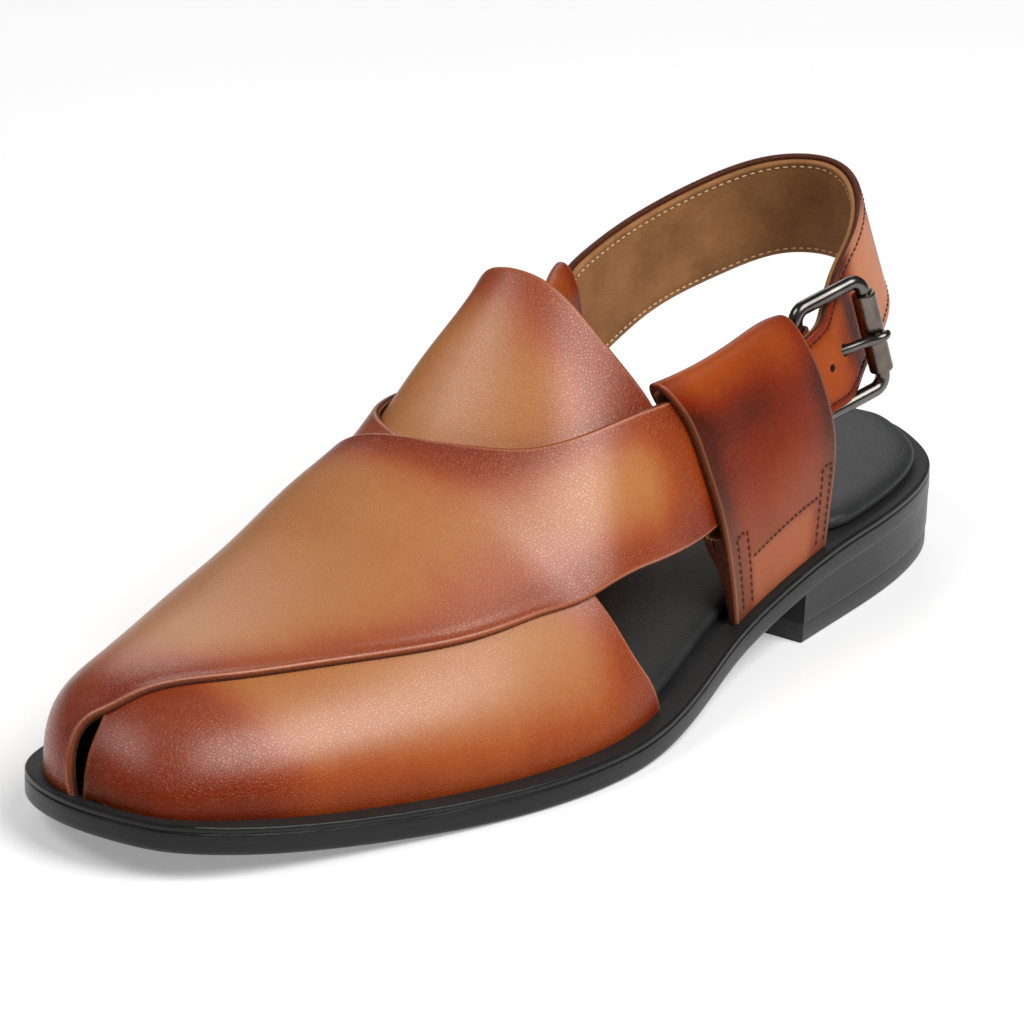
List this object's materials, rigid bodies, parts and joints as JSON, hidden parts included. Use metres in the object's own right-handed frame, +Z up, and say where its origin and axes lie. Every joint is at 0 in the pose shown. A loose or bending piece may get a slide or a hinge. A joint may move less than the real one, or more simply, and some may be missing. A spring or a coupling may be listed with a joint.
{
  "type": "peshawari chappal",
  "caption": "Low-heeled leather sandal with crossed vamp bands, an open toe slit, folded side loops and a buckled heel strap.",
  "frame": {"origin": "on the ground, under the centre of the bounding box", "axes": "+Y from toe to heel, +X towards the outer (lateral) side of this left shoe, +Z up"},
  "size_m": [0.1096, 0.302, 0.0995],
  "materials": {
    "outsole": "black waxed leather, satin edge",
    "heel": "black stacked heel, satin",
    "top_lift": "black rubber top lift, matt",
    "insole": "black padded sock leather, soft satin",
    "upper": "tan aniline leather burnished to red-brown, satin",
    "tongue": "tan aniline leather burnished to red-brown, satin",
    "loop_lateral": "tan leather, folded and stitched",
    "loop_medial": "tan leather, folded and stitched",
    "sling_strap": "red-brown leather with a camel lining",
    "buckle_tab": "red-brown leather",
    "buckle_frame": "gunmetal plating",
    "buckle_roller": "taupe-grey satin plating",
    "buckle_prong": "gunmetal plating"
  },
  "bodies": {
    "root": {"outsole": "outsole", "heel": "heel", "top_lift": "top_lift", "insole": "insole", "upper": "upper", "tongue": "tongue", "loop_lateral": "loop_lateral", "loop_medial": "loop_medial", "sling_strap": "sling_strap", "buckle_tab": "buckle_tab", "buckle_frame": "buckle_frame", "buckle_roller": "buckle_roller", "buckle_prong": "buckle_prong"}
  },
  "joints": []
}
